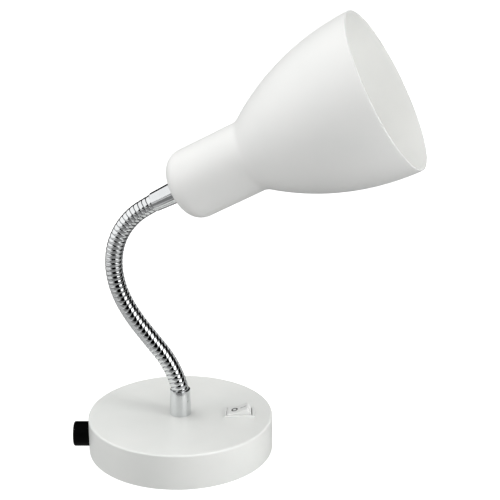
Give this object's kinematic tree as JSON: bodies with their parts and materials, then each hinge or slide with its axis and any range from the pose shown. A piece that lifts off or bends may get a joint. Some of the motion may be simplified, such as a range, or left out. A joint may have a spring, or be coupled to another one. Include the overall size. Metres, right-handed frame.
{
  "type": "gooseneck lamp",
  "caption": "Small lamp with a round white base, a rocker switch, a ribbed chrome gooseneck and a white bell shade.",
  "frame": {"origin": "centre of the base's back face, the face that meets the table or the wall", "axes": "+Z along the base axis away from the back face, +X from the cord gland to the switch, and the arm bends in a plane turned 14 degrees from X towards -Y"},
  "size_m": [0.2122, 0.1349, 0.2765],
  "materials": {
    "white_lacquer_steel": "satin white lacquer",
    "white_lacquer_aluminium": "satin white lacquer over spun aluminium",
    "zinc_steel": "zinc plated",
    "chrome": "polished chrome",
    "white_plastic": "smooth moulded",
    "black_nylon": "moulded",
    "black_rubber": "smooth",
    "ivory_plastic": "moulded",
    "brass": "stamped",
    "bulb_metal": "rolled",
    "bulb_plastic": "moulded",
    "opal_globe": "opal"
  },
  "bodies": {
    "base": {"base_cover": "white_lacquer_steel", "wall_plate": "zinc_steel", "cover_screws": "zinc_steel", "terminal_block": "ivory_plastic", "terminal_screws": "brass", "switch_housing": "white_plastic", "switch_contacts": "brass", "switch_terminals": "brass", "gland_cap": "black_nylon", "gland_seal": "black_rubber", "gland_body": "black_nylon", "gland_nut": "black_nylon", "lower_ferrule": "chrome", "base_washer": "zinc_steel", "base_nut": "zinc_steel"},
    "rocker": {"switch_rocker": "white_plastic"},
    "neck_1": {"gooseneck_link_1": "chrome"},
    "neck_2": {"gooseneck_link_2": "chrome"},
    "neck_3": {"gooseneck_link_3": "chrome"},
    "neck_4": {"gooseneck_link_4": "chrome"},
    "neck_5": {"gooseneck_link_5": "chrome"},
    "neck_6": {"gooseneck_link_6": "chrome"},
    "neck_7": {"gooseneck_link_7": "chrome"},
    "neck_8": {"gooseneck_link_8": "chrome"},
    "head": {"upper_ferrule": "chrome", "shade_neck": "white_lacquer_aluminium", "shade_bell": "white_lacquer_aluminium", "shade_washer": "zinc_steel", "shade_nut": "zinc_steel", "holder_cap": "ivory_plastic", "holder_body": "ivory_plastic", "holder_shell": "brass", "holder_spring": "brass", "bulb_contact": "bulb_metal", "bulb_cap": "bulb_metal", "bulb_collar": "bulb_plastic", "bulb_globe": "opal_globe"}
  },
  "joints": [
    {"name": "neck_bend_1", "type": "hinge", "parent": "base", "child": "neck_1", "pos_m": [0, 0, 0.0404], "axis": [0.2419, 0.9703, 0], "range_deg": [-12, 10]},
    {"name": "neck_sway_2", "type": "hinge", "parent": "neck_1", "child": "neck_2", "pos_m": [-0.00648, 0.00161, 0.05692], "axis": [0.8317, -0.2074, 0.515], "range_deg": [-15, 15]},
    {"name": "neck_bend_3", "type": "hinge", "parent": "neck_2", "child": "neck_3", "pos_m": [-0.01759, 0.00439, 0.07057], "axis": [0.2419, 0.9703, 0], "range_deg": [-20, 10]},
    {"name": "neck_sway_4", "type": "hinge", "parent": "neck_3", "child": "neck_4", "pos_m": [-0.02859, 0.00713, 0.08432], "axis": [0.7996, -0.1994, 0.5664], "range_deg": [-15, 15]},
    {"name": "neck_bend_5", "type": "hinge", "parent": "neck_4", "child": "neck_5", "pos_m": [-0.0371, 0.00925, 0.09983], "axis": [0.2419, 0.9703, 0], "range_deg": [-20, 10]},
    {"name": "neck_sway_6", "type": "hinge", "parent": "neck_5", "child": "neck_6", "pos_m": [-0.0404, 0.01007, 0.11733], "axis": [0.9703, -0.2419, 0.0044], "range_deg": [-15, 15]},
    {"name": "neck_bend_7", "type": "hinge", "parent": "neck_6", "child": "neck_7", "pos_m": [-0.03725, 0.00929, 0.13485], "axis": [0.2419, 0.9703, 0], "range_deg": [-20, 10]},
    {"name": "neck_sway_8", "type": "hinge", "parent": "neck_7", "child": "neck_8", "pos_m": [-0.02758, 0.00688, 0.14962], "axis": [0.6831, -0.1703, -0.7102], "range_deg": [-15, 15]},
    {"name": "neck_bend_9", "type": "hinge", "parent": "neck_8", "child": "head", "pos_m": [-0.01316, 0.00328, 0.15946], "axis": [0.2419, 0.9703, 0], "range_deg": [-20, 10]},
    {"name": "rocker_tilt", "type": "hinge", "parent": "base", "child": "rocker", "pos_m": [0.0369, 0, 0.022], "axis": [0, 1, 0], "range_deg": [0, 34]}
  ]
}
